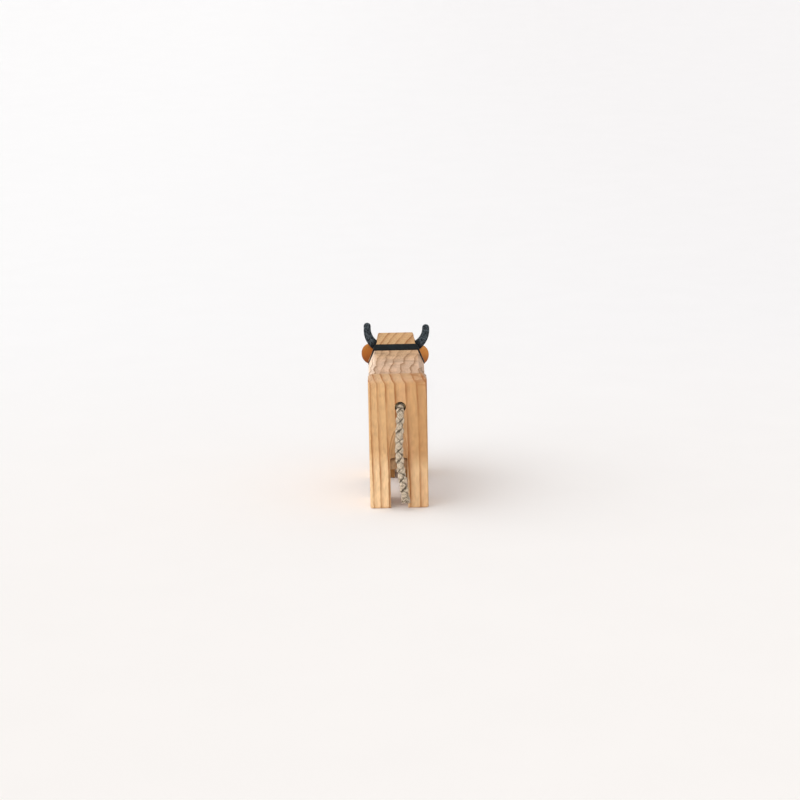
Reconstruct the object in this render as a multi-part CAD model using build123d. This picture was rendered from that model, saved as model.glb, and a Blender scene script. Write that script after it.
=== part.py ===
from build123d import *
import math
import os

# A wooden cow that stands on four legs, seen with its head towards +Y and its tail towards -Y.
# Lengths are in millimetres. Stations along the cow are measured forward from the rump,
# heights upward from the floor, and the finished pieces are moved so that the origin lies
# on the floor under the middle of the body's length.

# Fits shared by all pieces
fit_gap = 0.12
overrun = 40.0

# The board that the body is sawn from
board_thickness = 30.0
edge_ease = 0.7

# Feet, legs and belly
hind_foot_length = 22.0
foot_spacing = 40.0
front_foot_length = 20.5
foot_corner_radius = 1.4
leg_taper = 1.6
belly_height = 30.0
belly_radius = 8.0
udder_length = 14.5
udder_height = 15.6
udder_radius = 3.5

# Rump and back
rump_height = 71.6
rump_radius = 5.0
sway_station = 34.0
sway_drop = 10.0
sway_radius = 60.0
withers_length = 12.8
withers_drop = 0.4
neck_base_radius = 2.2

# Neck, with its facets as shares of the way from its foot to the poll
neck_length = 30.8
poll_height = 78.9
poll_radius = 1.8
nape_facet_shares = ((0.071, 0.175), (0.166, 0.288), (0.269, 0.356), (0.364, 0.489), (0.45, 0.522))
nape_facet_radius = 1.2

# Head: the throat stands ahead of the front feet, and the muzzle ahead of the throat
throat_overhang = 7.3
throat_radius = 2.0
muzzle_reach = 16.7
muzzle_depth = 13.0
muzzle_width = 22.0
nose_height = 54.0
nose_radius = 4.2
bridge_length = 8.0
bridge_rise = 5.0
bridge_radius = 9.0
chin_setback = 3.0
chin_radius = 4.2
jaw_rise = 3.6
dewlap_setback = 2.2
dewlap_drop = 3.6
dewlap_radius = 3.0
brisket_bulge = 0.8
brisket_drop = 6.0
brisket_radius = 12.0

# Bevels along both upper sides: depth below the top where each leaves the side, and lean.
# The block of the poll has steeper sides and rounded upper edges.
bevel_start_station = 14.0
bevel_lead = 1.6
rump_bevel_depth = 4.3
withers_bevel_depth = 2.8
head_bevel_depth = 6.5
nose_bevel_depth = 4.0
cheek_start_share = 0.21
bevel_rump_lean = 43.0
bevel_withers_lean = 30.0
bevel_head_lean = 24.0
poll_block_depth = 4.4
poll_block_lean = 10.5
poll_edge_radius = 2.0

# Gaps between the legs of each pair
hind_slot_width = 8.8
hind_slot_height = 26.0
hollow_height = 41.4
front_slot_width = 3.6
front_slot_height = 25.0
slot_ease = 0.7

# Tail hole, cord and the glue that holds it
cord_diameter = 4.4
cord_play = 0.65
cord_drop_share = 0.385
cord_end_station = 6.2
tail_hole_depth = 13.0
tail_hole_drop = 18.3
tail_hole_offset = 1.25
cord_arc_share = 0.45

# Strap over the nape, which starts at a share of the way from the last facet to the poll
strap_place_share = 0.1145
strap_length = 3.6
strap_thickness = 1.0
strap_groove_depth = 0.4
strap_overlap = 0.3

# Horns, ahead of the strap
horn_gap = 4.4
horn_thickness = 3.2
horn_root_width = 5.2
horn_tip_width = 3.6
horn_bend_radius = 10.6
horn_bend_rise = 6.0
horn_sweep = 75.0
horn_overhang_left = 0.5
horn_overhang_right = 1.6
horn_straight_left = 1.8
horn_straight_right = 0.4
horn_ease = 0.7

# Ears, ahead of the horns
ear_gap = 1.6
ear_thickness = 1.6
ear_width = 10.4
ear_height = 11.4
ear_rise = 2.75
ear_uneven = 0.6
ear_overhang_left = 4.0
ear_overhang_right = 3.2
ear_root_margin = 0.5
ear_curl_radius = 9.0

# Face
eye_diameter = 2.6
eye_length = 6.0
eye_proud = 0.7
eye_dome_share = 0.92
eye_place_share = 0.45
eye_drop = 6.5
nostril_diameter = 2.2
nostril_depth = 1.8
nostril_spacing = 8.4
nostril_drop = 4.0

# Places that follow from the sizes above
half_turn = math.degrees(math.pi)
half_thickness = board_thickness / 2
front_foot_rear = hind_foot_length + foot_spacing
front_foot_front = front_foot_rear + front_foot_length
udder_front = hind_foot_length + leg_taper + udder_length
sway_height = rump_height - sway_drop
neck_station = sway_station + withers_length
neck_height = sway_height - withers_drop
poll_station = neck_station + neck_length
throat_station = front_foot_front + throat_overhang
nose_station = throat_station + muzzle_reach
bridge_station = nose_station - bridge_length
bridge_height = nose_height + bridge_rise
chin_station = nose_station - chin_setback
chin_height = nose_height - muzzle_depth
throat_height = chin_height + jaw_rise
dewlap_station = throat_station - dewlap_setback
dewlap_height = throat_height - dewlap_drop
brisket_station = dewlap_station + brisket_bulge
brisket_height = dewlap_height - brisket_drop
nape_facets = [
    (
        neck_station + along_share * (poll_station - neck_station),
        neck_height + up_share * (poll_height - neck_height),
    )
    for along_share, up_share in nape_facet_shares
]
nape_station, nape_height = nape_facets[-1]
nape_slope = (poll_height - nape_height) / (poll_station - nape_station)
strap_rear_station = nape_station + strap_place_share * (poll_station - nape_station)
strap_front_station = strap_rear_station + strap_length
horn_station = strap_front_station + horn_gap
ear_station = horn_station + horn_thickness + ear_gap
bevel_head_station = strap_rear_station - bevel_lead
bevel_head_height = nape_height - head_bevel_depth
bevel_rump_height = rump_height - rump_bevel_depth
poll_block_foot = poll_height - poll_block_depth
bevel_withers_height = neck_height - withers_bevel_depth
bevel_nose_height = nose_height - nose_bevel_depth
bevel_face_station = poll_station + cheek_start_share * (bridge_station - poll_station)
strap_end_height = bevel_head_height - strap_overlap
horn_reach_left = half_thickness + horn_overhang_left
horn_reach_right = half_thickness + horn_overhang_right
horn_bend_height = poll_height - nape_slope * (poll_station - horn_station) + horn_bend_rise
ear_centre_height = bevel_head_height + ear_rise
ear_reach_left = half_thickness + ear_overhang_left
ear_reach_right = half_thickness + ear_overhang_right
ear_root_reach = half_thickness - ear_root_margin
eye_station = poll_station + eye_place_share * (bridge_station - poll_station)
eye_height = poll_height - eye_place_share * (poll_height - bridge_height) - eye_drop
nostril_height = nose_height - nostril_drop
nostril_station = nose_station - chin_setback * nostril_drop / muzzle_depth
tail_hole_diameter = cord_diameter + 2 * cord_play
tail_hole_height = rump_height - tail_hole_drop
cord_height = tail_hole_height - cord_drop_share * cord_play

# The cord's route as across, station and height, from its end in the hole to its loose end
cord_points = [
    (tail_hole_offset, cord_end_station, cord_height),
    (tail_hole_offset, -3.7, cord_height),
    (0.75, -3.5, 43.1),
    (0.1, -3.3, 33.4),
    (0.95, -3.3, 23.6),
    (2.4, -3.4, 13.6),
    (3.4, -3.6, 3.9),
]


def side_outline():
    """The cow's outline from the side, as corners with their radii, walked forward over the back."""
    facet_corners = [(station, height, nape_facet_radius) for station, height in nape_facets]
    corners = [
        (0, 0, foot_corner_radius),
        (0, rump_height, rump_radius),
        (sway_station, sway_height, sway_radius),
        (neck_station, neck_height, neck_base_radius),
        *facet_corners,
        (poll_station, poll_height, poll_radius),
        (bridge_station, bridge_height, bridge_radius),
        (nose_station, nose_height, nose_radius),
        (chin_station, chin_height, chin_radius),
        (throat_station, throat_height, throat_radius),
        (dewlap_station, dewlap_height, dewlap_radius),
        (brisket_station, brisket_height, brisket_radius),
        (front_foot_front, 0, foot_corner_radius),
        (front_foot_rear, 0, foot_corner_radius),
        (front_foot_rear - leg_taper, belly_height, belly_radius),
        (udder_front, belly_height, udder_radius),
        (udder_front - leg_taper, udder_height, udder_radius),
        (hind_foot_length + leg_taper, udder_height, foot_corner_radius),
        (hind_foot_length, 0, foot_corner_radius),
    ]
    points = [(station, height) for station, height, _ in corners]
    radii = [radius for _, _, radius in corners]
    return make_face(FilletPolyline(*points, radius=radii, close=True))


def across(station):
    """The upright plane across the cow at a station, with X to the right and height upward."""
    return Plane.XZ.offset(-station)


def bevel_cutter():
    """The wood taken off the right upper edge: a bar that leans most at the rump and bends at the poll."""
    stations = [
        (-overrun, bevel_rump_height, bevel_rump_lean),
        (bevel_start_station, bevel_rump_height, bevel_rump_lean),
        (neck_station, bevel_withers_height, bevel_withers_lean),
        (bevel_head_station, bevel_head_height, bevel_head_lean),
        (bevel_face_station, bevel_head_height, bevel_head_lean),
        (nose_station, bevel_nose_height, bevel_head_lean),
    ]
    block_slant = math.tan(math.radians(poll_block_lean))
    sections = []
    for station, height, lean in stations:
        slant = math.tan(math.radians(lean))
        low = (half_thickness + overrun * slant, height - overrun)
        foot = (half_thickness - (poll_block_foot - height) * slant, poll_block_foot)
        corner = (foot[0] - poll_block_depth * block_slant, poll_height)
        inner = (corner[0] - overrun, poll_height)
        outer = (half_thickness + overrun, poll_height + overrun)
        outline = FilletPolyline(low, foot, corner, inner, radius=poll_edge_radius)
        top = Polyline(inner, (inner[0], outer[1]), outer, low)
        sections.append(across(station) * make_face(outline + top))
    return loft(sections, ruled=True)


def cheek_cutter():
    """The wedge taken off the right cheek, so that the head narrows to the muzzle."""
    inner = (muzzle_width / 2, nose_station)
    start = (half_thickness, bevel_face_station)
    lean = (start[0] - inner[0]) / (inner[1] - start[1])
    front = (inner[0] - overrun * lean, inner[1] + overrun)
    outer = (half_thickness + overrun, front[1])
    wedge = make_face(Polyline(start, front, outer, (outer[0], start[1]), close=True))
    return extrude(wedge, poll_height + overrun)


def neck_section(station, grow, low):
    """The neck's cross-section under the strap, down to low, with its faces moved out by grow."""
    slant = math.tan(math.radians(bevel_head_lean))
    stretch = math.hypot(1, slant)
    side = half_thickness + grow
    shoulder = bevel_head_height + grow * (stretch - 1) / slant
    top = poll_height - nape_slope * (poll_station - station) + grow * math.hypot(1, nape_slope)
    top_half = half_thickness - (top - bevel_head_height) * slant + grow * stretch
    right = [(side, low), (side, shoulder), (top_half, top)]
    left = [(-x, z) for x, z in reversed(right)]
    return across(station) * make_face(Polyline(*right, *left, close=True))


def neck_sleeve(margin, outside):
    """The band between the groove's floor and outside, longer and lower than the strap by margin."""
    rear = strap_rear_station - margin
    front = strap_front_station + margin
    low = strap_end_height - margin
    outer = loft([neck_section(rear, outside, low), neck_section(front, outside, low)], ruled=True)
    core_rear = neck_section(rear - fit_gap, -strap_groove_depth, 0)
    core_front = neck_section(front + fit_gap, -strap_groove_depth, 0)
    return outer - loft([core_rear, core_front], ruled=True)


def horn_side(centre, side, grow, root_angle):
    """One long edge of the right horn, from root to bend: side 1 is the outer edge and -1 the inner one."""
    points = []
    for angle in (root_angle, root_angle / 2, 0):
        width = horn_tip_width + angle / horn_sweep * (horn_root_width - horn_tip_width)
        reach = horn_bend_radius + side * (width / 2 + grow)
        points.append(centre + Vector(reach, 0).rotate(Axis.Z, -angle))
    return ThreePointArc(*points)


def horn_face(reach, straight, grow):
    """The right horn's outline: an arc that tapers to an upright round tip, its edges moved out by grow."""
    centre = Vector(reach - horn_bend_radius, horn_bend_height)
    root_angle = horn_sweep + math.degrees(grow / horn_bend_radius)
    outer = horn_side(centre, 1, grow, root_angle)
    inner = horn_side(centre, -1, grow, root_angle)
    tip_centre = (reach, horn_bend_height + straight)
    tip = CenterArc(tip_centre, horn_tip_width / 2 + grow, 0, half_turn)
    root = Line(outer @ 0, inner @ 0)
    return make_face([outer, Line(outer @ 1, tip @ 0), tip, Line(inner @ 1, tip @ 1), inner, root])


def make_horn(reach, straight):
    """The right horn, with its root running on into the head and an upright end as long as straight."""
    blank = extrude(across(horn_station) * horn_face(reach, straight, 0), -horn_thickness)
    return chamfer(blank.faces().filter_by(Axis.Y).edges(), horn_ease)


def horn_mortise(reach, straight):
    """The pocket in the head for the right horn's root."""
    face = across(horn_station - fit_gap) * horn_face(reach, straight, fit_gap)
    return extrude(face, -horn_thickness - 2 * fit_gap)


def ear_oval(reach, lift, grow):
    """The right ear's oval seen from behind, as a bar that runs along the cow."""
    oval = Ellipse(ear_width / 2 + grow, ear_height / 2 + grow)
    place = Pos(reach - ear_width / 2, ear_centre_height + lift)
    return extrude(across(ear_station) * place * oval, overrun, both=True)


def make_ear(reach, lift):
    """The right ear, raised by lift: a leaf with a flat root that curls forward beyond the head."""
    root_line = Line((reach - ear_width - fit_gap, 0), (ear_root_reach, 0))
    curl_centre = (ear_root_reach, ear_curl_radius)
    curl = CenterArc(curl_centre, ear_curl_radius, -half_turn / 2, half_turn / 4)
    leaf = extrude(make_face(offset(root_line + curl, ear_thickness, side=Side.LEFT)), poll_height)
    return Pos(0, ear_station, 0) * leaf & ear_oval(reach, lift, 0)


def ear_kerf(reach, lift):
    """The saw kerf for the right ear's root."""
    slab = Box(
        board_thickness,
        ear_thickness + 2 * fit_gap,
        poll_height,
        align=(Align.MIN, Align.MIN, Align.MIN),
    )
    place = Pos(reach - ear_width - fit_gap, ear_station - fit_gap, 0)
    return place * slab & ear_oval(reach, lift, fit_gap)


def eye_place():
    """The right eye's axis, which comes out square to the narrowing cheek, at the wood's surface."""
    along_share = (eye_station - bevel_face_station) / (nose_station - bevel_face_station)
    cheek = half_thickness - along_share * (half_thickness - muzzle_width / 2)
    bevel_height = bevel_head_height - along_share * (bevel_head_height - bevel_nose_height)
    bevel = half_thickness - (eye_height - bevel_height) * math.tan(math.radians(bevel_head_lean))
    narrowing = (half_thickness - muzzle_width / 2) / (nose_station - bevel_face_station)
    return Plane(origin=(min(cheek, bevel), eye_station, eye_height), z_dir=(1, narrowing, 0))


def make_eye():
    """The right eye peg: a short pin with a domed head."""
    pin = Cylinder(eye_diameter / 2, eye_length, align=(Align.CENTER, Align.CENTER, Align.MAX))
    dome = fillet(pin.edges().group_by(Axis.Z)[-1], eye_dome_share * eye_diameter / 2)
    return eye_place() * Pos(0, 0, eye_proud) * dome


def eye_socket():
    """The drilled socket for the right eye peg."""
    depth = eye_length - eye_proud
    drill = Cylinder(eye_diameter / 2 + fit_gap, depth, align=(Align.CENTER, Align.CENTER, Align.MAX))
    mouth = Cylinder(eye_diameter / 2 + fit_gap, depth, align=(Align.CENTER, Align.CENTER, Align.MIN))
    return eye_place() * (drill + mouth)


def mirrored(shape):
    """The same piece on the cow's left side."""
    return mirror(shape, Plane.YZ)


def slot_mouth(grow):
    """The mouth of the hind gap in the rump: straight sides under half an oval, widened by grow."""
    half_width = hind_slot_width / 2 + grow
    crown = hollow_height - hind_slot_height + grow
    arch = EllipticalCenterArc((0, hind_slot_height), half_width, crown, arc_size=half_turn)
    sill = Polyline(arch @ 1, (-half_width, -hind_slot_height), (half_width, -hind_slot_height), arch @ 0)
    return make_face(arch + sill)


def leg_gaps():
    """The cutters for the gap between the hind legs, with its hollow, and between the front legs."""
    hind_slot = Box(hind_slot_width, 2 * (hind_foot_length + leg_taper), 2 * hind_slot_height)
    gouge_radius = hind_slot_width / 2
    gouge_lean = math.asin(gouge_radius / (hollow_height - hind_slot_height))
    gouge_axis = Plane(
        origin=(0, 0, hind_slot_height),
        z_dir=(0, -math.sin(gouge_lean), math.cos(gouge_lean)),
    )
    gouge = gouge_axis * Cylinder(gouge_radius, 2 * hind_slot_height)
    wide_mouth = across(-slot_ease) * slot_mouth(2 * slot_ease)
    mouth = loft([wide_mouth, across(slot_ease) * slot_mouth(0)], ruled=True)
    front_face = SlotOverall(2 * front_slot_height, front_slot_width, rotation=half_turn / 2)
    front_slot = extrude(across(front_foot_rear - belly_radius) * front_face, -overrun)
    return [hind_slot, gouge, mouth, front_slot]


def make_body():
    """The body: sawn from the board, eased, bevelled, slotted between the legs and drilled."""
    blank = extrude(Plane.YZ * side_outline(), half_thickness, both=True)
    wood = chamfer(blank.faces().filter_by(Axis.X).edges(), edge_ease)
    for cutter in (bevel_cutter(), cheek_cutter(), eye_socket()):
        wood = wood - cutter - mirrored(cutter)
    for cutter in leg_gaps():
        wood = wood - cutter

    drill = Cylinder(tail_hole_diameter / 2, 2 * tail_hole_depth)
    wood = wood - Plane.XZ * Pos(tail_hole_offset, tail_hole_height) * drill
    nostril = Cylinder(nostril_diameter / 2, 2 * nostril_depth)
    for side in (1, -1):
        wood = wood - across(nostril_station) * Pos(side * nostril_spacing / 2, nostril_height) * nostril

    wood = wood - neck_sleeve(fit_gap, overrun)
    wood = wood - horn_mortise(horn_reach_right, horn_straight_right)
    wood = wood - mirrored(horn_mortise(horn_reach_left, horn_straight_left))
    wood = wood - ear_kerf(ear_reach_right, -ear_uneven)
    return wood - mirrored(ear_kerf(ear_reach_left, ear_uneven))


def cord_path():
    """Straight runs along the cord's route, joined by arcs as large as the runs allow."""
    points = [Vector(*point) for point in cord_points]
    radii = []
    for before, here, after in zip(points, points[1:], points[2:]):
        turn = math.radians((here - before).get_angle(after - here))
        run = min((here - before).length, (after - here).length)
        radii.append(cord_arc_share * run / math.tan(turn / 2))
    print("cord radii", [round(radius, 1) for radius in radii])
    return FilletPolyline(*points, radius=radii)


def make_cord():
    """The tail cord as a plain round tube, from the glue in its hole to its loose end."""
    path = cord_path()
    tube = sweep(Plane(path @ 0, z_dir=path % 0) * Circle(cord_diameter / 2), path=path)
    print("cord length", round(path.length, 2), "volume", round(tube.volume, 1))
    print("section times length", round(math.pi * cord_diameter**2 / 4 * path.length, 1))
    return tube


def make_glue_plug():
    """The set glue between the cord's inner end and the bottom of the tail hole."""
    length = tail_hole_depth - cord_end_station
    plug = Cylinder(tail_hole_diameter / 2 - fit_gap, length, align=(Align.CENTER, Align.CENTER, Align.MAX))
    return across(cord_end_station) * Pos(tail_hole_offset, tail_hole_height) * plug


pieces = {
    "body": make_body(),
    "nape_strap": neck_sleeve(0, strap_thickness - strap_groove_depth),
    "horn_left": mirrored(make_horn(horn_reach_left, horn_straight_left)),
    "horn_right": make_horn(horn_reach_right, horn_straight_right),
    "ear_left": mirrored(make_ear(ear_reach_left, ear_uneven)),
    "ear_right": make_ear(ear_reach_right, -ear_uneven),
    "eye_left": mirrored(make_eye()),
    "eye_right": make_eye(),
    "tail_rope": make_cord(),
    "tail_glue_plug": make_glue_plug(),
}
middle = pieces["body"].bounding_box().center().Y
print("middle of the body, forward of the rump", round(middle, 4))
os.makedirs("parts", exist_ok=True)
for name, piece in pieces.items():
    export_step(Pos(0, -middle, 0) * piece, f"parts/{name}.step")
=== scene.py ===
import math

import bmesh
import bpy
import numpy as np
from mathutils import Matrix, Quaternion, Vector


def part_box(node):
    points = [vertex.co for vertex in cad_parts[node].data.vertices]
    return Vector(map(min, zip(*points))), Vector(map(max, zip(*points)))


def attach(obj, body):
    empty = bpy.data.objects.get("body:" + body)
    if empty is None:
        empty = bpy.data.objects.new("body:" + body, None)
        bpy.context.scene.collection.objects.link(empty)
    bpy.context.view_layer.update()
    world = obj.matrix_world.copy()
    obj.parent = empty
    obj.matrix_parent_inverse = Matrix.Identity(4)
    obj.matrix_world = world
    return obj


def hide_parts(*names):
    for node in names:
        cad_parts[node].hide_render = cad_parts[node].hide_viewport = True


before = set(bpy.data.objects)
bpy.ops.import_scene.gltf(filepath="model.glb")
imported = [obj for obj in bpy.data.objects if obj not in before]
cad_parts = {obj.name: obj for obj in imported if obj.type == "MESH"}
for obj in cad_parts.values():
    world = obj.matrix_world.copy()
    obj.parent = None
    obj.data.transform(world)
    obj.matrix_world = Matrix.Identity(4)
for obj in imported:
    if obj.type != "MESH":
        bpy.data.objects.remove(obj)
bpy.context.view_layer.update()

# Body: one block of softwood, sawn from a 30 mm board, carved at the nape and sanded.
# Its growth rings stand upright, round a pith that lay outside the block on its right side,
# so the rump shows straight lines and the carved nape shows the rings cut across.
mm = 0.001
pith_across = 74.0
pith_forward = -25.7
pith_lean = 0.014
pith_lean_height = 62.0
ring_radii = (
    48.6, 52.5, 56.6, 61.0, 65.5, 70.0, 75.2, 80.4, 84.8, 88.7, 92.1,
    96.6, 100.4, 104.4, 108.1, 112.0, 116.2, 120.0, 123.8,
)
ring_span = (43.0, 127.0)
ring_wobble = 1.2
ring_fuzz = 0.35
crest_bend = 1.2
saw_pitch = 1.15
saw_slant = 0.8
saw_tone = 0.11
carved_wobble = 0.7
carved_step = 2.0
early_wood = (210, 167, 118)
right_side_shade_wood = (185, 136, 86)
foot_bounce_light = (236, 199, 153)
late_wood = (158, 98, 48)
late_carved = (150, 112, 80)
rosy_wood = (206, 158, 116)
end_grain_top_light = (206, 174, 148)
left_bevel_highlight = (237, 211, 187)
pore_brown = (140, 90, 50)
arch_shade_wood = (150, 106, 58)
hole_shade_wood = (88, 60, 38)
hole_across = 1.25
hole_height = 53.3
hole_wall = (2.87, 2.97)


def linear(color):
    """A screen colour in steps of 255, as the linear red, green, blue and alpha that a shader takes."""
    share = np.asarray(color, float) / 255
    curve = np.where(share <= 0.04045, share / 12.92, ((share + 0.055) / 1.055) ** 2.4)
    return (*curve.tolist(), 1.0)


def add_node(tree, kind, inputs=None, **settings):
    """One shader node with its settings, whose inputs are values or the outputs of other nodes."""
    node = tree.nodes.new("ShaderNode" + kind)
    for name, value in settings.items():
        setattr(node, name, value)
    for name, value in (inputs or {}).items():
        if isinstance(value, bpy.types.NodeSocket):
            tree.links.new(value, node.inputs[name])
        else:
            node.inputs[name].default_value = value
    return node


def calc(tree, operation, first, second=0.0):
    """The result of one sum on two values or outputs."""
    return add_node(tree, "Math", {0: first, 1: second}, operation=operation).outputs[0]


def ramp(tree, value, low, high, start=0.0, end=1.0):
    """A smooth step that goes from start to end while the value goes from low to high."""
    inputs = {"Value": value, "From Min": low, "From Max": high, "To Min": start, "To Max": end}
    return add_node(tree, "MapRange", inputs, interpolation_type="SMOOTHSTEP").outputs[0]


def ramp_linear(tree, value, low, high):
    """A straight ramp from 0 to 1 while the value goes from low to high."""
    inputs = {"Value": value, "From Min": low, "From Max": high}
    return add_node(tree, "MapRange", inputs).outputs[0]


def blend_color(tree, share, first, second):
    """The first colour, turning into the second as share goes from 0 to 1."""
    return add_node(tree, "Mix", {0: share, 6: first, 7: second}, data_type="RGBA").outputs[2]


def noise(tree, place, stretch, detail=3.0, roughness=0.5):
    """Cloudy noise whose patches are one unit wide before stretch gives them their size each way."""
    scaled = add_node(tree, "Mapping", {"Vector": place, "Scale": stretch}).outputs[0]
    inputs = {"Vector": scaled, "Scale": 1.0, "Detail": detail, "Roughness": roughness}
    return add_node(tree, "TexNoise", inputs).outputs[0]


def start_material(name):
    """A new material, with its tree, its surface shader and its object coordinates in millimetres."""
    material = bpy.data.materials.new(name)
    material.use_nodes = True
    tree = material.node_tree
    shader = tree.nodes["Principled BSDF"]
    objects = add_node(tree, "TexCoord").outputs["Object"]
    scale = add_node(tree, "VectorMath", {0: objects, "Scale": 1 / mm}, operation="SCALE")
    return material, tree, shader, scale.outputs[0]


def relief(tree, shader, height, distance, strength=1.0):
    """Makes the surface catch the light as if it rose by height times distance."""
    inputs = {"Height": height, "Distance": distance * mm, "Strength": strength}
    bump = add_node(tree, "Bump", inputs)
    tree.links.new(bump.outputs[0], shader.inputs["Normal"])


def brighten(tree, color, factor):
    """The same colour, brighter or darker by a factor."""
    return add_node(tree, "VectorMath", {0: color, "Scale": factor}, operation="SCALE").outputs[0]


def softwood():
    """Ring number from the distance to the leaning pith; each ring darkens slowly and ends sharply.
    Faces that look upward are end grain, painted paler as if lit from above, and their lines waver where the
    knife cut facets.
    Over the rump's crest the lines bend, sawn faces carry slanted saw lines, and the drilled hole's wall is
    painted dark as shade."""
    material, tree, shader, place = start_material("sanded_softwood")
    parts = add_node(tree, "SeparateXYZ", {0: place}).outputs
    across, forward, up = parts[0], parts[1], parts[2]
    normal = add_node(tree, "SeparateXYZ", {0: add_node(tree, "NewGeometry").outputs["Normal"]}).outputs
    facing = normal[2]
    sawn_share = ramp(tree, calc(tree, "ABSOLUTE", normal[1]), 0.3, 0.8, 0.12, 1.0)
    # Painted light: faces that look upward, and the carved nape, are made paler as if lit from above.
    end_grain_light_share = ramp(tree, facing, 0.08, 0.70, 0.0, 0.55)
    end_grain_light_share = calc(tree, "MULTIPLY", end_grain_light_share, ramp(tree, forward, 9.0, 14.0, 1.0, 0.2))
    crest = ramp(tree, forward, -44.0, -36.0, 1.0, 0.0)
    crest = calc(tree, "MULTIPLY", ramp(tree, facing, 0.05, 0.60), crest)
    carved_share = ramp(tree, forward, -40.0, -12.0)
    carved_share = calc(tree, "MULTIPLY", ramp(tree, facing, 0.12, 0.36), carved_share)
    carved_share = calc(tree, "MULTIPLY", carved_share, ramp(tree, forward, 9.0, 14.0, 1.0, 0.1))
    pale_share = calc(tree, "MAXIMUM", end_grain_light_share, carved_share)
    lean = calc(tree, "MULTIPLY", calc(tree, "SUBTRACT", up, pith_lean_height), pith_lean)
    aside = calc(tree, "ADD", calc(tree, "SUBTRACT", across, pith_across), lean)
    ahead = calc(tree, "SUBTRACT", forward, pith_forward)
    squares = calc(tree, "ADD", calc(tree, "MULTIPLY", aside, aside), calc(tree, "MULTIPLY", ahead, ahead))
    slow = calc(tree, "SUBTRACT", noise(tree, place, (0.035, 0.035, 0.012), 2.0), 0.5)
    drift = calc(tree, "MULTIPLY", noise(tree, place, (0.16, 0.05, 0.10), 2.0), 4 * carved_step)
    zigzag = calc(tree, "PINGPONG", calc(tree, "ADD", up, drift), carved_step)
    quick = calc(tree, "SUBTRACT", zigzag, carved_step / 2)
    quick = calc(tree, "MULTIPLY", quick, 2 * carved_wobble / carved_step)
    quick = calc(tree, "MULTIPLY", quick, carved_share)
    rough = calc(tree, "SUBTRACT", noise(tree, place, (0.9, 0.9, 0.3), 3.0, 0.6), 0.5)
    shift = calc(tree, "ADD", calc(tree, "MULTIPLY", slow, 2 * ring_wobble), quick)
    shift = calc(tree, "ADD", shift, calc(tree, "MULTIPLY", rough, 2 * ring_fuzz))
    shift = calc(tree, "SUBTRACT", shift, calc(tree, "MULTIPLY", crest, crest_bend))
    radius = calc(tree, "ADD", calc(tree, "SQRT", squares), shift)

    low, high = ring_span
    steps = len(ring_radii) + 1
    counter = add_node(tree, "FloatCurve")
    curve = counter.mapping.curves[0]
    curve.points[0].location = (0.0, 0.0)
    curve.points[1].location = (1.0, 1.0)
    for number, ring in enumerate(ring_radii, start=1):
        curve.points.new((ring - low) / (high - low), number / steps)
    for point in curve.points:
        point.handle_type = "VECTOR"
    counter.mapping.update()
    share = ramp_linear(tree, radius, low, high)
    tree.links.new(share, counter.inputs["Value"])
    ring = calc(tree, "FRACT", calc(tree, "MULTIPLY", counter.outputs[0], float(steps)))

    broad = calc(tree, "POWER", ramp(tree, ring, 0.10, 0.95), 1.7)
    narrow = calc(tree, "POWER", ramp(tree, ring, 0.60, 0.95), 2.0)
    rise = calc(tree, "ADD", calc(tree, "MULTIPLY", broad, 0.5), calc(tree, "MULTIPLY", narrow, 0.6))
    late = calc(tree, "MULTIPLY", rise, ramp(tree, ring, 0.95, 1.0, 1.0, 0.0))
    fade = noise(tree, place, (0.13, 0.13, 0.035), 3.0)
    late = calc(tree, "MULTIPLY", late, ramp(tree, fade, 0.30, 0.66, 0.40, 0.95))
    fibre = noise(tree, place, (2.4, 2.4, 0.09), 4.0, 0.62)
    speck = noise(tree, place, (1.2, 1.2, 0.45), 3.0, 0.65)
    patch = noise(tree, place, (0.09, 0.09, 0.03), 2.0)
    pores = noise(tree, place, (4.5, 4.5, 0.45), 2.0, 0.6)

    # Painted light: the wood turns paler towards the feet, standing in for light bounced up from the floor.
    ground = blend_color(tree, ramp(tree, up, 20.0, 32.0, 0.9, 0.0), linear(early_wood), linear(foot_bounce_light))
    # Painted shade: the wood darkens towards the pith on the right, the side away from the key light, and
    # less so low on the legs.
    right_side_shade = ramp(tree, radius, 88.0, 60.0, 0.0, 0.85)
    right_side_shade = calc(tree, "MULTIPLY", right_side_shade, ramp(tree, up, 18.0, 30.0, 0.4, 1.0))
    ground = blend_color(tree, right_side_shade, ground, linear(right_side_shade_wood))
    ground = blend_color(tree, ramp(tree, patch, 0.48, 0.70, 0.0, 0.6), ground, linear(rosy_wood))
    pale_share = calc(tree, "MULTIPLY", pale_share, ramp(tree, up, 66.0, 70.0, 0.95, 0.45))
    ground = blend_color(tree, pale_share, ground, linear(end_grain_top_light))
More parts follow.
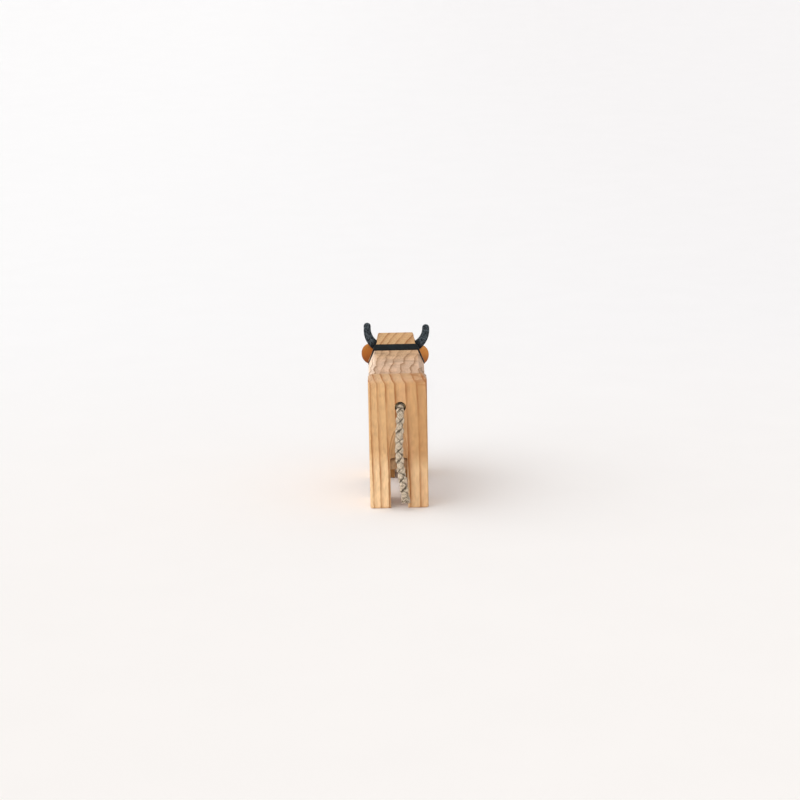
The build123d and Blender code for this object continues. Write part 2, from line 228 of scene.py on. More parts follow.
    # Painted highlight: the carved bevel on the left of the head, facing the key light, is made much paler.
    left_bevel_highlight_share = calc(tree, "MULTIPLY", carved_share, ramp(tree, across, -12.5, -10.0, 0.78, 0.0))
    ground = blend_color(tree, left_bevel_highlight_share, ground, linear(left_bevel_highlight))
    line_color = blend_color(tree, carved_share, linear(late_wood), linear(late_carved))
    color = blend_color(tree, late, ground, line_color)
    corner = calc(tree, "MULTIPLY", ramp(tree, across, 4.0, 8.5), ramp(tree, up, 62.0, 66.0))
    corner = calc(tree, "MULTIPLY", corner, ramp(tree, forward, -46.0, -38.0, 1.0, 0.0))
    strokes = ramp(tree, noise(tree, place, (0.16, 0.16, 1.1), 2.0), 0.44, 0.62, 0.0, 0.45)
    color = blend_color(tree, calc(tree, "MULTIPLY", strokes, corner), color, linear(late_wood))
    color = blend_color(tree, ramp(tree, pores, 0.62, 0.76, 0.0, 0.45), color, linear(pore_brown))
    facets = noise(tree, place, (0.13, 0.36, 0.36), 1.0, 0.3)
    slant = calc(tree, "SUBTRACT", up, calc(tree, "MULTIPLY", across, saw_slant))
    slant = calc(tree, "ADD", slant, calc(tree, "MULTIPLY", noise(tree, place, (0.2, 0.2, 0.2), 2.0), 2.0))
    saw_lines = calc(tree, "SINE", calc(tree, "MULTIPLY", slant, 2 * math.pi / saw_pitch))
    saw_patches = noise(tree, place, (0.06, 0.06, 0.05), 1.0)
    saw_lines = calc(tree, "MULTIPLY", saw_lines, ramp(tree, saw_patches, 0.36, 0.58, 0.2, 1.0))
    saw_lines = calc(tree, "MULTIPLY", saw_lines, calc(tree, "SUBTRACT", 1.0, pale_share))
    saw_lines = calc(tree, "MULTIPLY", saw_lines, sawn_share)
    factor = ramp(tree, fibre, 0.25, 0.75, 0.90, 1.06)
    factor = calc(tree, "ADD", factor, ramp(tree, speck, 0.3, 0.7, -0.11, 0.11))
    facet_light = ramp(tree, facets, 0.40, 0.60, -0.08, 0.10)
    factor = calc(tree, "ADD", factor, calc(tree, "MULTIPLY", facet_light, carved_share))
    factor = calc(tree, "ADD", factor, calc(tree, "MULTIPLY", saw_lines, saw_tone))
    nape_light = ramp(tree, up, 65.5, 69.5, 0.05, -0.06)
    factor = calc(tree, "ADD", factor, calc(tree, "MULTIPLY", nape_light, carved_share))
    # Painted shade: the front legs' rear faces, deep in the arch under the belly, are made dark brown.
    arch_shade_share = ramp(tree, forward, 10.5, 12.0, 1.0, 0.0)
    arch_shade_share = calc(tree, "MULTIPLY", ramp(tree, forward, 3.0, 8.0), arch_shade_share)
    arch_shade_share = calc(tree, "MULTIPLY", arch_shade_share, ramp(tree, up, 14.0, 20.0, 1.0, 0.0))
    color = blend_color(tree, arch_shade_share, color, linear(arch_shade_wood))
    # Painted shade: the wall of the tail hole round the cord is made dark brown.
    beside = calc(tree, "SUBTRACT", across, hole_across)
    above = calc(tree, "SUBTRACT", up, hole_height)
    beside_squared = calc(tree, "MULTIPLY", beside, beside)
    above_squared = calc(tree, "MULTIPLY", above, above)
    hole_distance = calc(tree, "SQRT", calc(tree, "ADD", beside_squared, above_squared))
    hole_shade_share = ramp(tree, hole_distance, *hole_wall, 0.9, 0.0)
    hole_shade_share = calc(tree, "MULTIPLY", hole_shade_share, ramp(tree, forward, -52.9, -52.0))
    hole_shade_share = calc(tree, "MULTIPLY", hole_shade_share, ramp(tree, forward, -39.8, -38.5, 1.0, 0.0))
    color = blend_color(tree, hole_shade_share, color, linear(hole_shade_wood))
    tree.links.new(brighten(tree, color, factor), shader.inputs["Base Color"])

    height = calc(tree, "ADD", calc(tree, "MULTIPLY", fibre, 0.06), calc(tree, "MULTIPLY", saw_lines, 0.012))
    facet_height = calc(tree, "MULTIPLY", calc(tree, "MULTIPLY", facets, carved_share), 1.1)
    height = calc(tree, "ADD", height, facet_height)
    relief(tree, shader, height, 1.0)
    tree.links.new(ramp(tree, fibre, 0.3, 0.8, 0.55, 0.72), shader.inputs["Roughness"])
    shader.inputs["Specular IOR Level"].default_value = 0.25
    return material


def finish_node(name, material):
    """Gives a construction piece its finish."""
    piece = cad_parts[name]
    piece.data.materials.clear()
    piece.data.materials.append(material)


finish_node("body", softwood())

# Nape strap: a strip of smooth black leather, laid in a shallow groove over the nape.
# It runs down both bevels of the head and is glued; it stands proud on top and is pressed in at its ends.
strap_corner = 0.16
strap_lift = 0.3
strap_end_sinks = (0.7, 0.45)
strap_bend = 3
strap_steps = 220
strap_profile_steps = 40
head_half = 15.0
head_lean = math.tan(math.radians(24.0))
nape_rise = 0.4995
strap_overlap = 0.3
strap_black = (13, 24, 28)
strap_edge = (6, 11, 13)


def make_mesh(name, rows, material, closed_around=True):
    """A surface from a grid of points: neighbours along both ways of the grid share a face."""
    count, around = rows.shape[:2]
    numbers = np.arange(count * around).reshape(count, around)
    turned = np.roll(numbers, -1, axis=1) if closed_around else numbers[:, 1:]
    near = numbers if closed_around else numbers[:, :-1]
    corners = [near[:-1], turned[:-1], turned[1:], near[1:]]
    faces = np.stack(corners, axis=-1).reshape(-1, 4)
    mesh = bpy.data.meshes.new(name)
    mesh.from_pydata(rows.reshape(-1, 3).tolist(), [], faces.tolist())
    mesh.materials.append(material)
    mesh.shade_smooth()
    piece = bpy.data.objects.new(name, mesh)
    bpy.context.scene.collection.objects.link(piece)
    return piece


def outward(piece):
    """Merges the points at the poles and turns all faces outward."""
    shape = bmesh.new()
    shape.from_mesh(piece.data)
    bmesh.ops.remove_doubles(shape, verts=shape.verts, dist=0.002 * mm)
    bmesh.ops.recalc_face_normals(shape, faces=shape.faces)
    shape.to_mesh(piece.data)
    shape.free()


def with_caps(rows):
    """Closes a tube of rings by drawing its first and last ring in to their middles."""
    first, last = rows[:1], rows[-1:]
    ends = [
        end + share * (end.mean(axis=1, keepdims=True) - end)
        for end in (first, last) for share in (1.0, 0.5)
    ]
    return np.concatenate([ends[0], ends[1], rows, ends[3], ends[2]])


def rounded_box(half_wide, half_high, corner, steps):
    """A rectangle's outline with round corners: a circle, grown by a box whose corners it goes round."""
    angle = np.linspace(0, 2 * math.pi, steps, endpoint=False) + math.pi / steps
    wide = np.sign(np.cos(angle)) * (half_wide - corner) + corner * np.cos(angle)
    high = np.sign(np.sin(angle)) * (half_high - corner) + corner * np.sin(angle)
    return wide, high


def strap_surface():
    """Each point of the strip's outline follows the neck's section at its own height above the wood;
    the strip's corners over the neck are rounded by averaging neighbours along it."""
    low, high = (np.array(corner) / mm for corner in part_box("nape_strap"))
    rear, front = low[1], high[1]
    proud = high[0] - head_half + strap_lift
    sunk = proud - 1.0 - strap_lift
    along, lift = rounded_box((front - rear) / 2, (proud - sunk) / 2, strap_corner, strap_profile_steps)
    along = along + (front + rear) / 2
    lift = lift + (proud + sunk) / 2
    stretch = math.hypot(1, head_lean)
    shoulder_height = low[2] + strap_overlap
    nape_top = high[2] - (proud - strap_lift) * math.hypot(1, nape_rise)
    end_lifts = [lift - sink for sink in strap_end_sinks]
    left_side, right_side = (head_half + end_lift for end_lift in end_lifts)
    left_shoulder, right_shoulder = (
        shoulder_height + end_lift * (stretch - 1) / head_lean for end_lift in end_lifts
    )
    top = nape_top - nape_rise * (front - along) + lift * math.hypot(1, nape_rise)
    top_half = head_half - (top - shoulder_height) * head_lean + lift * stretch
    foot = np.full_like(lift, low[2])
    across = np.stack([-left_side, -left_side, -top_half, top_half, right_side, right_side])
    height = np.stack([foot, left_shoulder, top, top, right_shoulder, foot])
    lengths = np.hypot(np.diff(across[:, 0]), np.diff(height[:, 0]))
    knots = np.concatenate([[0], np.cumsum(lengths)]) / lengths.sum()
    steps = np.linspace(0, 1, strap_steps)
    left = np.clip(np.searchsorted(knots, steps, side="right") - 1, 0, len(knots) - 2)
    share = ((steps - knots[left]) / (knots[left + 1] - knots[left]))[:, None]
    points = np.stack([
        across[left] + share * (across[left + 1] - across[left]),
        np.broadcast_to(along, (strap_steps, len(along))),
        height[left] + share * (height[left + 1] - height[left]),
    ], axis=-1)
    padded = np.concatenate([points[:1]] * strap_bend + [points] + [points[-1:]] * strap_bend)
    windows = np.lib.stride_tricks.sliding_window_view(padded, 2 * strap_bend + 1, axis=0)
    rounded = windows.mean(axis=-1)
    rounded[:strap_bend], rounded[-strap_bend:] = points[:strap_bend], points[-strap_bend:]
    return with_caps(rounded) * mm


def strap_leather():
    """Black leather: fine pebbles in the surface that vary its gloss, and random patches that are darker."""
    material, tree, shader, place = start_material("black_strap_leather")
    pebble = noise(tree, place, (4.5, 4.5, 4.5), 3.0, 0.6)
    wear = noise(tree, place, (0.5, 0.5, 0.5), 2.0)
    color = blend_color(tree, ramp(tree, wear, 0.35, 0.7), linear(strap_edge), linear(strap_black))
    tree.links.new(color, shader.inputs["Base Color"])
    tree.links.new(ramp(tree, pebble, 0.3, 0.7, 0.48, 0.62), shader.inputs["Roughness"])
    shader.inputs["Specular IOR Level"].default_value = 0.2
    relief(tree, shader, pebble, 0.05, 0.6)
    return material


strap = make_mesh("nape_strap_leather", strap_surface(), strap_leather())
outward(strap)
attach(strap, "figure")
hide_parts("nape_strap")

# Horns: two curved cut-outs of thick charcoal leather with a napped, flecked face.
# Each root is set in a mortise of the head, just ahead of the strap.
horn_bend_radius = 10.6
horn_sweep = math.radians(75.0)
horn_straight_left = 1.8
horn_straight_right = 0.4
horn_root_half = 2.6
horn_tip_half = 1.9
horn_corner = 0.8
horn_steps = 150
horn_around = 72
horn_nap = 0.035
horn_charcoal = (42, 50, 55)
horn_dark = (13, 18, 22)
horn_fleck = (116, 126, 133)


def horn_surface(name, side, straight, seed):
    """A round-cornered section carried along an arc that tapers and ends upright in a round tip,
    with a seeded scatter of fine lumps on its faces for the nap."""
    low, high = (np.array(corner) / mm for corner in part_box(name))
    reach = (high[0] if side > 0 else -low[0]) - horn_tip_half
    bend_height = high[2] - horn_tip_half - straight
    middle = (low[1] + high[1]) / 2
    half_thick = (high[1] - low[1]) / 2
    arc_length = horn_bend_radius * horn_sweep
    total = arc_length + straight + horn_tip_half
    length = total * (1 - (1 - np.linspace(0, 1, horn_steps)) ** 1.6)
    angle = np.minimum(length / horn_bend_radius, horn_sweep) - horn_sweep
    beyond = np.maximum(length - arc_length, 0)
    centre_across = reach - horn_bend_radius + horn_bend_radius * np.cos(angle)
    centre_height = bend_height + horn_bend_radius * np.sin(angle) + beyond
    tip_share = np.clip((length - total + horn_tip_half) / horn_tip_half, 0, 1)
    taper = horn_tip_half - (horn_root_half - horn_tip_half) * angle / horn_sweep
    half_wide = taper * np.sqrt(1 - tip_share**2)
    half_deep = half_thick * (1 - 0.45 * (1 - np.sqrt(1 - tip_share**4)))
    wide, deep = rounded_box(1.0, 1.0, horn_corner / 2, horn_around)
    rng = np.random.default_rng(seed)
    lumps = rng.normal(0, horn_nap, (horn_steps, horn_around))
    lumps = (lumps + np.roll(lumps, 1, 1) + np.roll(lumps, 1, 0)) / 1.7
    lumps = lumps * (1 - tip_share[:, None] ** 8)
    out_wide = half_wide[:, None] * wide + lumps * np.sign(wide) * np.abs(wide) ** 3
    out_deep = half_deep[:, None] * deep + lumps * np.sign(deep) * np.abs(deep) ** 3
    across = centre_across[:, None] + out_wide * np.cos(angle)[:, None]
    height = centre_height[:, None] + out_wide * np.sin(angle)[:, None]
    rows = np.stack([side * across, middle + out_deep, height], axis=-1)
    return with_caps(rows) * mm


def horn_leather():
    """Charcoal nap with pale flecks of two sizes, darker in random patches, and painted shade near the root,
    where the head shades it.
    """
    material, tree, shader, place = start_material("charcoal_nap")
    fine = noise(tree, place, (2.6, 2.6, 2.6), 2.0, 0.6)
    broad = noise(tree, place, (0.9, 0.9, 0.9), 3.0, 0.6)
    color = blend_color(tree, ramp(tree, broad, 0.36, 0.62), linear(horn_dark), linear(horn_charcoal))
    flecks = calc(tree, "MULTIPLY", ramp(tree, fine, 0.50, 0.64), ramp(tree, broad, 0.32, 0.60, 0.35, 1.0))
    color = blend_color(tree, flecks, color, linear(horn_fleck))
    parts = add_node(tree, "SeparateXYZ", {0: place}).outputs
    # Painted shade: the horn darkens towards its root, where the head shades it.
    outside = calc(tree, "ABSOLUTE", parts[0])
    root = ramp(tree, calc(tree, "ADD", outside, parts[2]), 84.5, 89.0, 0.9, 0.0)
    color = blend_color(tree, root, color, linear(horn_dark))
    tree.links.new(color, shader.inputs["Base Color"])
    shader.inputs["Roughness"].default_value = 0.85
    shader.inputs["Specular IOR Level"].default_value = 0.15
    shader.inputs["Sheen Weight"].default_value = 0.06
    relief(tree, shader, fine, 0.12)
    return material


horn_finish = horn_leather()
for horn_name, horn_side, horn_straight in (
    ("horn_left", -1, horn_straight_left),
    ("horn_right", 1, horn_straight_right),
):
    horn_rows = horn_surface(horn_name, horn_side, horn_straight, 12 + horn_side)
    horn = make_mesh(horn_name + "_nap", horn_rows, horn_finish)
    outward(horn)
    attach(horn, "figure")
    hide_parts(horn_name)

# Ears: two oval leaves of tan leather, 1.6 mm thick, with burnished round edges.
# Each is pushed into a saw kerf of the head and curls forward where it stands free.
ear_curl_radius = 9.0
ear_curl_start = 14.5
ear_half_wide = 5.2
ear_edge_power = 0.42
ear_dome = 0.55
ear_rings = 60
ear_around = 96
# Painted light: the left ear, which faces the key light, gets darker tones, and the right ear, which the head
# shades, gets paler ones.
ear_lit_tones = {
    "ear_left": ((161, 92, 24), (186, 118, 38), (124, 63, 15)),
    "ear_right": ((202, 132, 62), (226, 163, 91), (158, 92, 40)),
}


def ear_surface(side):
    """A flattened ball: its rim is an oval and its two faces are nearly flat.
    Beyond the head it is wrapped forward round an upright cylinder, and its rim bends forward too."""
    low, high = (np.array(corner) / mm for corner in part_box("ear_right" if side > 0 else "ear_left"))
    reach = high[0] if side > 0 else -low[0]
    half_high = (high[2] - low[2]) / 2
    thickness = 1.6
    turn = np.linspace(-math.pi / 2, math.pi / 2, ear_rings)[:, None]
    around = np.linspace(0, 2 * math.pi, ear_around, endpoint=False)[None, :]
    rim = np.abs(np.cos(turn)) ** ear_edge_power
    rim[0], rim[-1] = 0.0, 0.0
    across = reach - ear_half_wide + ear_half_wide * rim * np.cos(around)
    height = half_high * rim * np.sin(around)
    level = thickness / 2 * np.sin(turn) + 0 * around
    free = np.maximum(across - ear_curl_start, 0)
    bend = free / ear_curl_radius
    turned = np.where(free > 0, ear_curl_start + (ear_curl_radius - level) * np.sin(bend), across)
    ahead = np.where(free > 0, ear_curl_radius - (ear_curl_radius - level) * np.cos(bend), level)
    outside = np.clip((across - 13.2) / 4.0, 0, 1) ** 2
    ahead = ahead + ear_dome * outside * (height / half_high) ** 2
    rows = np.stack([side * turned, low[1] + thickness / 2 + ahead, (low[2] + high[2]) / 2 + height], axis=-1)
    return rows * mm


def ear_leather(name, tan, pale, deep):
    """Tan leather with painted light: paler above and deep brown below, as if lit from above, with fine grain
    and a few darker clouds.
    """
    material, tree, shader, place = start_material(name)
    grain = noise(tree, place, (3.2, 3.2, 3.2), 4.0, 0.6)
    cloud = noise(tree, place, (0.45, 0.45, 0.45), 3.0, 0.55)
    up = add_node(tree, "SeparateXYZ", {0: place}).outputs[2]
    # Painted light and shade: paler towards the top, deep brown towards the bottom.
    color = blend_color(tree, ramp(tree, up, 62.0, 68.5), linear(deep), linear(tan))
    color = blend_color(tree, ramp(tree, up, 67.5, 73.0, 0.0, 0.7), color, linear(pale))
    color = blend_color(tree, ramp(tree, cloud, 0.5, 0.75, 0.0, 0.45), color, linear(deep))
    color = blend_color(tree, ramp(tree, grain, 0.55, 0.75, 0.0, 0.25), color, linear(pale))
    tree.links.new(color, shader.inputs["Base Color"])
    tree.links.new(ramp(tree, grain, 0.3, 0.7, 0.42, 0.58), shader.inputs["Roughness"])
    shader.inputs["Specular IOR Level"].default_value = 0.25
    relief(tree, shader, grain, 0.06, 0.7)
    return material


for ear_name, ear_side in (("ear_left", -1), ("ear_right", 1)):
    ear_finish = ear_leather(ear_name + "_tan", *ear_lit_tones[ear_name])
    ear = make_mesh(ear_name + "_leather", ear_surface(ear_side), ear_finish)
    outward(ear)
    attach(ear, "figure")
    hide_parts(ear_name)

# Eyes: two short pegs of black stained wood with domed heads, pressed into drilled sockets.
# They are turned pieces under a satin stain that is browner in fine streaks.
eye_stain = (20, 18, 17)
eye_worn = (46, 40, 36)


def eye_black():
    """Black stain over wood: slightly browner where it is thin, with a satin gloss."""
    material, tree, shader, place = start_material("black_eye_stain")
    thin = noise(tree, place, (2.5, 2.5, 6.0), 3.0)
    color = blend_color(tree, ramp(tree, thin, 0.5, 0.8), linear(eye_stain), linear(eye_worn))
    tree.links.new(color, shader.inputs["Base Color"])
    tree.links.new(ramp(tree, thin, 0.3, 0.7, 0.26, 0.40), shader.inputs["Roughness"])
    return material


eye_finish = eye_black()
finish_node("eye_left", eye_finish)
finish_node("eye_right", eye_finish)

# Glue plug: set wood glue at the blind end of the tail hole, which holds the cord's inner end.
# It lies deep in the hole and shows only as a dull amber floor behind the cord.
glue_amber = (186, 150, 92)
glue_cloud = (214, 190, 144)


def set_glue():
    """Amber glue with paler clouds, slightly glossy."""
    material, tree, shader, place = start_material("set_wood_glue")
    cloud = noise(tree, place, (1.2, 1.2, 1.2), 3.0)
    color = blend_color(tree, ramp(tree, cloud, 0.35, 0.7), linear(glue_amber), linear(glue_cloud))
    tree.links.new(color, shader.inputs["Base Color"])
    tree.links.new(ramp(tree, cloud, 0.3, 0.7, 0.30, 0.5), shader.inputs["Roughness"])
    return material


finish_node("tail_glue_plug", set_glue())

# Tail: a limp cord of natural flax, braided from four strands of four yarns each.
# Its inner end is glued in the drilled hole; it bends down over the hole's edge and ends frayed.
cord_diameter = 4.4
rump_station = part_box("body")[0][1] / mm
cord_points = [
    (1.25, 6.2, 52.85),
    (1.25, -3.7, 52.85),
    (0.75, -3.5, 43.1),
    (0.1, -3.3, 33.4),
    (0.6, -3.3, 23.6),
    (2.15, -3.4, 13.6),
    (3.4, -3.6, 3.9),
]
cord_steps = 420
braid_lead = 10.4
braid_radius = 1.32
braid_wave = 0.60
braid_phase = math.pi / 2
braid_turn = (0.0, 0.5)
yarn_places = (-0.96, -0.32, 0.32, 0.96)
yarn_radius = 0.37
yarn_around = 8
core_radius = 1.2
core_share = 0.97
end_opening = 1.6
end_flare = 0.6
braid_wander = 0.2
wander_periods = (13.1, 7.7)
snug_share = 0.90
snug_start = 7.0
snug_run = 6.0
fray_length = 4.5
flax_pale = (238, 222, 201)
flax_tan = (188, 169, 143)
flax_shade = (58, 48, 35)


def cord_line():
    """The cord's centre line, read from a smooth spline whose control points are the route's points."""
    curve = bpy.data.curves.new("tail_route", "CURVE")
    curve.dimensions = "3D"
    curve.resolution_u = 40
    spline = curve.splines.new("NURBS")
    spline.points.add(len(cord_points) - 1)
    for point, (across, station, height) in zip(spline.points, cord_points):
        point.co = (across * mm, (station + rump_station) * mm, height * mm, 1.0)
    spline.order_u = 3
    spline.use_endpoint_u = True
    holder = bpy.data.objects.new("tail_route", curve)
    line = bpy.data.meshes.new_from_object(holder)
    points = np.empty(len(line.vertices) * 3)
    line.vertices.foreach_get("co", points)
    bpy.data.objects.remove(holder)
    bpy.data.meshes.remove(line)
    return points.reshape(-1, 3)


def evenly(points, steps):
    """The same line with its points at even distances along it, and the distance of each."""
    travel = np.concatenate([[0], np.cumsum(np.linalg.norm(np.diff(points, axis=0), axis=1))])
    wanted = np.linspace(0, travel[-1], steps)
    return np.stack([np.interp(wanted, travel, points[:, axis]) for axis in range(3)], axis=1), wanted


def unit(vectors):
    """Vectors of length one."""
    return vectors / np.linalg.norm(vectors, axis=-1, keepdims=True)


def frame_along(line):
    """At each point: the way along the line, the way across it nearest to +X, and the third way."""
    ahead = unit(np.gradient(line, axis=0))
    side = np.array([1.0, 0, 0]) - ahead[:, :1] * ahead
    side = unit(side)
    return ahead, side, np.cross(ahead, side)


def tube(line, radius, around, reference):
    """Rings round a line, each square to it, with the first point of each ring towards the reference."""
    ahead = unit(np.gradient(line, axis=0))
    first = unit(reference - (reference * ahead).sum(axis=1, keepdims=True) * ahead)
    second = np.cross(ahead, first)
    angle = np.linspace(0, 2 * math.pi, around, endpoint=False)
    ring = np.cos(angle)[None, :, None] * first[:, None] + np.sin(angle)[None, :, None] * second[:, None]
    return line[:, None] + np.asarray(radius).reshape(-1, 1, 1) * ring


def braid_rows(line, travel):
    """Two flat strands wind one way and two the other, each made of yarns side by side. A strand's distance
    from the centre rises and falls twice a turn, so that it goes over one crossing and under the next.
    Each yarn lies beside its strand's middle, moved along the cord and round it, square to the strand."""
    ahead, side, third = frame_along(line)
    total = travel[-1]
    share = np.clip((travel / total - 0.35) / 0.4, 0, 1)
    swing = braid_turn[0] + (braid_turn[1] - braid_turn[0]) * share * share * (3 - 2 * share)
    wander = sum(np.sin(2 * math.pi * travel / (period * mm)) for period in wander_periods)
    swing = swing + braid_wander * wander
    opening = np.exp(-(total - travel) / (end_opening * mm))
    snug = snug_share + (1 - snug_share) * np.clip((travel / mm - snug_start) / snug_run, 0, 1)
    slope = math.atan2(2 * math.pi * braid_radius, braid_lead)
    rows = []
    for way in (1, -1):
        for start in (0.0, math.pi):
            angle = way * 2 * math.pi * travel / (braid_lead * mm) + start + braid_phase
            distance = snug * (braid_radius + way * braid_wave * np.cos(2 * angle)) + end_flare * opening
            for place in yarn_places:
                moved = np.clip(travel - way * place * math.sin(slope) * mm, 0, total)
                spread = (1 + 0.8 * opening) * place * math.cos(slope) / braid_radius
                turned = angle + swing + spread
                local = [np.stack([np.interp(moved, travel, way_of[:, axis]) for axis in range(3)], axis=1)
                         for way_of in (line, side, third)]
                out = np.cos(turned)[:, None] * local[1] + np.sin(turned)[:, None] * local[2]
                crown = distance - 0.10 * (place / max(yarn_places)) ** 2
                yarn = local[0] + crown[:, None] * mm * out
                thin = yarn_radius * (1 - 0.5 * opening) * mm
                rows.append(with_caps(tube(yarn, thin, yarn_around, out)))
    return rows


def groove_depth(points, line):
    """How far each point lies inside the cord's outside, as a share from 0 to 1."""
    nearest = np.full(len(points), np.inf)
    for start in range(0, len(line), 60):
        gaps = np.linalg.norm(points[:, None] - line[None, start:start + 60], axis=-1)
        nearest = np.minimum(nearest, gaps.min(axis=1))
    return np.clip((cord_diameter / 2 - nearest / mm) / 1.0, 0, 1)


def flax():
    """Flax yarn: pale and tan streaks along each yarn, patches of painted shade that grow towards the cord's
    end for the gaps between its loosening yarns, and painted shade where a point lies deep in the braid."""
    material, tree, shader, place = start_material("natural_flax")
    uv = add_node(tree, "UVMap", uv_map="yarn").outputs[0]
    streak = noise(tree, uv, (0.9, 14.0, 1.0), 4.0, 0.65)
    patch = noise(tree, place, (0.5, 0.5, 0.35), 3.0)
    groove = add_node(tree, "Attribute", attribute_name="groove").outputs["Fac"]
    color = blend_color(tree, ramp(tree, streak, 0.36, 0.66), linear(flax_tan), linear(flax_pale))
    color = blend_color(tree, ramp(tree, patch, 0.5, 0.8, 0.0, 0.4), color, linear(flax_tan))
    # Painted shade: dark patches that grow towards the frayed end stand in for the gaps between its loosening
    # yarns.
    tone = noise(tree, uv, (0.9, 0.6, 1.0), 2.0, 0.7)
    along = add_node(tree, "SeparateXYZ", {0: uv}).outputs[0]
    near_end = ramp(tree, along, 62.0, 68.0, 0.5, 0.9)
    dark = calc(tree, "MULTIPLY", ramp(tree, tone, 0.36, 0.54, 1.0, 0.0), near_end)
    color = blend_color(tree, dark, color, linear(flax_shade))
    # Painted shade: the deeper a point lies in the braid, the darker it is made.
    color = blend_color(tree, ramp(tree, groove, 0.30, 0.85, 0.0, 0.85), color, linear(flax_shade))
    tree.links.new(color, shader.inputs["Base Color"])
    shader.inputs["Roughness"].default_value = 0.9
    shader.inputs["Specular IOR Level"].default_value = 0.15
    relief(tree, shader, streak, 0.08)
    return material


def joined(name, parts, material, line):
    """One mesh from several closed tubes, with each yarn's length and turn as its map,
    and the depth in the braid as an attribute."""
    points, faces, maps, offset = [], [], [], 0
    for rows in parts:
        count, around = rows.shape[:2]
        numbers = np.arange(count * around).reshape(count, around) + offset
        turned = np.roll(numbers, -1, axis=1)
        faces.append(np.stack([numbers[:-1], turned[:-1], turned[1:], numbers[1:]], axis=-1).reshape(-1, 4))
        middle = rows.mean(axis=1)
        gone = np.concatenate([[0], np.cumsum(np.linalg.norm(np.diff(middle, axis=0), axis=1))]) / mm
        turn = np.linspace(0, 1, around + 1)
        lower = np.stack(np.broadcast_arrays(gone[:-1, None], turn[None, :-1]), axis=-1)
        lower_next = np.stack(np.broadcast_arrays(gone[:-1, None], turn[None, 1:]), axis=-1)
        upper_next = np.stack(np.broadcast_arrays(gone[1:, None], turn[None, 1:]), axis=-1)
        upper = np.stack(np.broadcast_arrays(gone[1:, None], turn[None, :-1]), axis=-1)
        shift = np.array([0.0, 3.7 * len(maps)])
        maps.append(np.stack([lower, lower_next, upper_next, upper], axis=2).reshape(-1, 2) + shift)
        points.append(rows.reshape(-1, 3))
        offset += count * around
    points = np.concatenate(points)
    mesh = bpy.data.meshes.new(name)
    mesh.from_pydata(points.tolist(), [], np.concatenate(faces).tolist())
    layer = mesh.uv_layers.new(name="yarn")
    layer.data.foreach_set("uv", np.concatenate(maps).ravel())
    depth = mesh.attributes.new("groove", "FLOAT", "POINT")
    depth.data.foreach_set("value", groove_depth(points, line).astype(np.float32))
    mesh.materials.append(material)
    mesh.shade_smooth()
    piece = bpy.data.objects.new(name, mesh)
    bpy.context.scene.collection.objects.link(piece)
    return piece


cord_center, cord_travel = evenly(cord_line(), cord_steps)
flax_finish = flax()
# The core fills the braid's middle; what shows of it through the gaps carries the painted shade of the
# braid's depth.
core_side = frame_along(cord_center)[1]
core_end = int(core_share * cord_steps)
core = with_caps(tube(cord_center[:core_end], core_radius * mm, 12, core_side[:core_end]))
cord = joined("tail_rope_braid", [*braid_rows(cord_center, cord_travel), core], flax_finish, cord_center)
outward(cord)
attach(cord, "tail")
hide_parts("tail_rope")

# Loose fibres: short flax hairs that stand off the braid, and the frayed brush at its end.
# They are the same fibre as the yarns, thinner than a pencil line, and go with the cord.
hair_count = 130
fray_count = 30
hair_steps = 9
hair_around = 3
hair_radius = 0.055


def hair_rows(rng, line, travel):
    """Fibres that leave the braid at seeded places and bend away; those at the end fan out downward.
    Each is a thin three-sided tube along a quadratic curve, and tapers to its tip."""
    ahead, side, third = frame_along(line)
    count = hair_count + fray_count
    at_end = np.arange(count) >= hair_count
    total = travel[-1] / mm
    frayed_share = 1 - rng.uniform(0.01, fray_length / total, count)
    start_share = np.where(at_end, frayed_share, rng.uniform(0.16, 0.97, count))
    station = np.clip((start_share * (len(line) - 1)).astype(int), 0, len(line) - 1)
    angle = rng.uniform(0, 2 * math.pi, count)
    out = np.cos(angle)[:, None] * side[station] + np.sin(angle)[:, None] * third[station]
    ring = np.cross(ahead[station], out)
    inner = np.where(at_end, rng.uniform(0.5, 2.0, count), cord_diameter / 2 - 0.35)
    base = line[station] + inner[:, None] * mm * out
    beyond = (1 - start_share) * total + rng.uniform(-0.4, 0.9, count)
    length = np.where(at_end, np.maximum(beyond, 0.8), rng.uniform(0.9, 2.6, count))
    lean = np.where(at_end, rng.uniform(0.05, 0.42, count), rng.uniform(0.12, 0.5, count))
    sideways = rng.normal(0, 0.35, count)
    way = unit(ahead[station] + lean[:, None] * out + sideways[:, None] * ring)
    curl = (rng.uniform(-0.1, 0.55, count))[:, None] * out + rng.normal(0, 0.3, count)[:, None] * ring
    step = np.linspace(0, 1, hair_steps)[None, :, None]
    lines = base[:, None] + mm * length[:, None, None] * (step * way[:, None] + 0.5 * step**2 * curl[:, None])
    lines[..., 2] = np.maximum(lines[..., 2], 0.35 * mm)
    along = unit(np.gradient(lines, axis=1))
    first = unit(np.cross(along, ring[:, None] + 0.3 * out[:, None]))
    second = np.cross(along, first)
    turn = np.linspace(0, 2 * math.pi, hair_around, endpoint=False)
    circle = np.cos(turn)[:, None] * first[:, :, None] + np.sin(turn)[:, None] * second[:, :, None]
    taper = (hair_radius * (1 - 0.75 * np.linspace(0, 1, hair_steps)))[None, :, None, None] * mm
    return list(lines[:, :, None] + taper * circle)


hairs = [with_caps(rows) for rows in hair_rows(np.random.default_rng(5), cord_center, cord_travel)]
fibres = joined("tail_rope_fibres", hairs, flax_finish, cord_center)
outward(fibres)
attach(fibres, "tail")

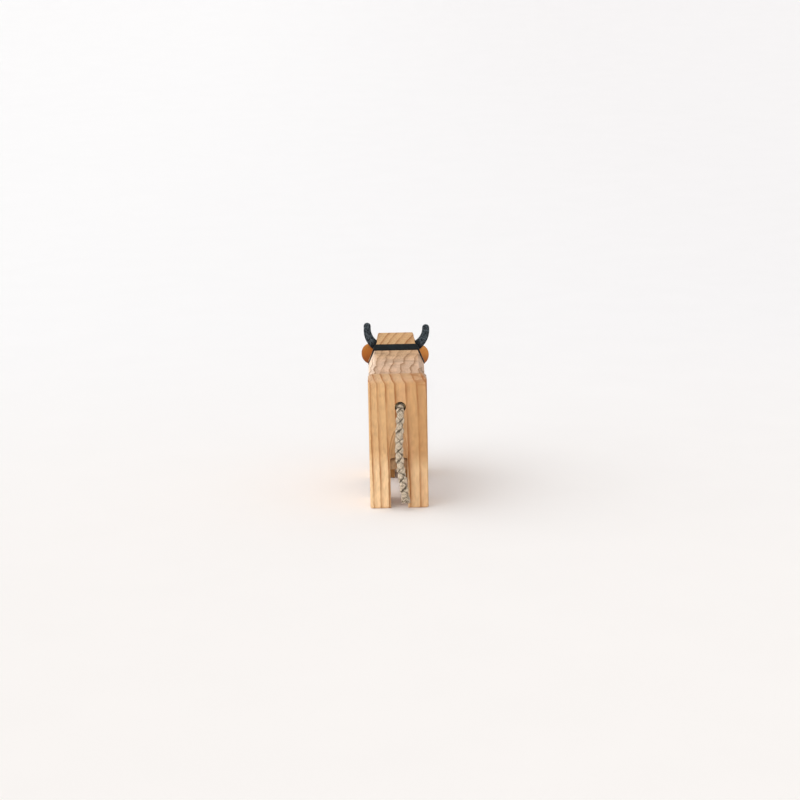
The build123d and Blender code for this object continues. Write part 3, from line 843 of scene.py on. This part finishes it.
# Studio: a pale paper sweep, an even sky, a broad soft key sun on the left and a low fill behind the camera.
# The camera stands behind the cow, a little to its left, and looks slightly down on it.
paper_width = 16.0
paper_near = -5.0
paper_rise_start = 0.5
paper_rise_radius = 20.0
paper_end = 7.0
paper_height = 5.0
paper_rise_shade = 0.06
paper_rise_shade_end = 4.5
paper_left = (253, 252, 252)
paper_right_shade = (248, 246, 246)
paper_front = (252, 248, 245)
suns = {
    "key_sun": ((-0.807, -0.142, 0.574), math.radians(90.0), 1.43),
    "fill_sun": ((-0.008, -0.956, 0.292), math.radians(5.0), 0.95),
}
sky_strength = 0.61
camera_aim = (1.18 * mm, rump_station * mm, 57.07 * mm)
camera_distance = 0.9
camera_pitch = math.radians(12.0)
camera_yaw = math.radians(0.48)
camera_roll = math.radians(1.03)
camera_lens = 79.59
camera_sensor = 36.0


def paper_sweep():
    """A strip of paper: flat, then rising as the square of the way, then upright; the same all across."""
    forward = np.concatenate([[paper_near], np.linspace(paper_rise_start, paper_end, 60), [paper_end]])
    upward = np.maximum(forward - paper_rise_start, 0) ** 2 / (2 * paper_rise_radius)
    upward[-1] = paper_height
    across = np.array([-paper_width / 2, paper_width / 2])
    rows = np.stack(np.broadcast_arrays(across[None, :], forward[:, None], upward[:, None]), axis=-1)
    return rows


def paper():
    """Plain matt paper with the faintest tooth, painted a little darker on the right as shade away from the
    key light, warmer in front, and painted darker as shade further back, where it turns up to the light."""
    material, tree, shader, place = start_material("white_paper")
    tooth = noise(tree, place, (0.02, 0.02, 0.02), 2.0)
    parts = add_node(tree, "SeparateXYZ", {0: place}).outputs
    # Painted shade: the paper is made a little darker towards the right, away from the key light.
    color = blend_color(tree, ramp(tree, parts[0], -500.0, 500.0), linear(paper_left), linear(paper_right_shade))
    color = blend_color(tree, ramp(tree, parts[1], -400.0, 600.0), linear(paper_front), color)
    # Painted shade: the paper is made darker further back, where it rises.
    rise_shade_share = ramp_linear(tree, parts[1], paper_rise_start / mm, paper_rise_shade_end / mm)
    color = brighten(tree, color, calc(tree, "SUBTRACT", 1.0, calc(tree, "MULTIPLY", rise_shade_share, paper_rise_shade)))
    color = brighten(tree, color, ramp(tree, tooth, 0.0, 1.0, 0.985, 1.0))
    tree.links.new(color, shader.inputs["Base Color"])
    shader.inputs["Roughness"].default_value = 1.0
    shader.inputs["Specular IOR Level"].default_value = 0.0
    return material


floor = make_mesh("paper_sweep", paper_sweep(), paper(), closed_around=False)

sky = bpy.data.worlds.new("studio_sky")
sky.use_nodes = True
sky.node_tree.nodes["Background"].inputs["Color"].default_value = (1.0, 1.0, 1.0, 1.0)
sky.node_tree.nodes["Background"].inputs["Strength"].default_value = sky_strength
bpy.context.scene.world = sky
bpy.context.scene.view_settings.view_transform = "Standard"

for sun_name, (sun_way, sun_spread, sun_strength) in suns.items():
    sun_data = bpy.data.lights.new(sun_name, "SUN")
    sun_data.energy = sun_strength
    sun_data.angle = sun_spread
    sun = bpy.data.objects.new(sun_name, sun_data)
    sun.rotation_mode = "QUATERNION"
    sun.rotation_quaternion = Vector(sun_way).to_track_quat("Z", "Y")
    bpy.context.scene.collection.objects.link(sun)

camera_data = bpy.data.cameras.new("camera")
camera_data.lens = camera_lens
camera_data.sensor_width = camera_sensor
camera = bpy.data.objects.new("camera", camera_data)
level = math.cos(camera_pitch)
back = Vector((-level * math.sin(camera_yaw), -level * math.cos(camera_yaw), math.sin(camera_pitch)))
camera.location = Vector(camera_aim) + camera_distance * back
camera.rotation_mode = "QUATERNION"
camera.rotation_quaternion = (-back).to_track_quat("-Z", "Y") @ Quaternion((0, 0, 1), -camera_roll)
bpy.context.scene.collection.objects.link(camera)
bpy.context.scene.camera = camera

bpy.context.view_layer.update()
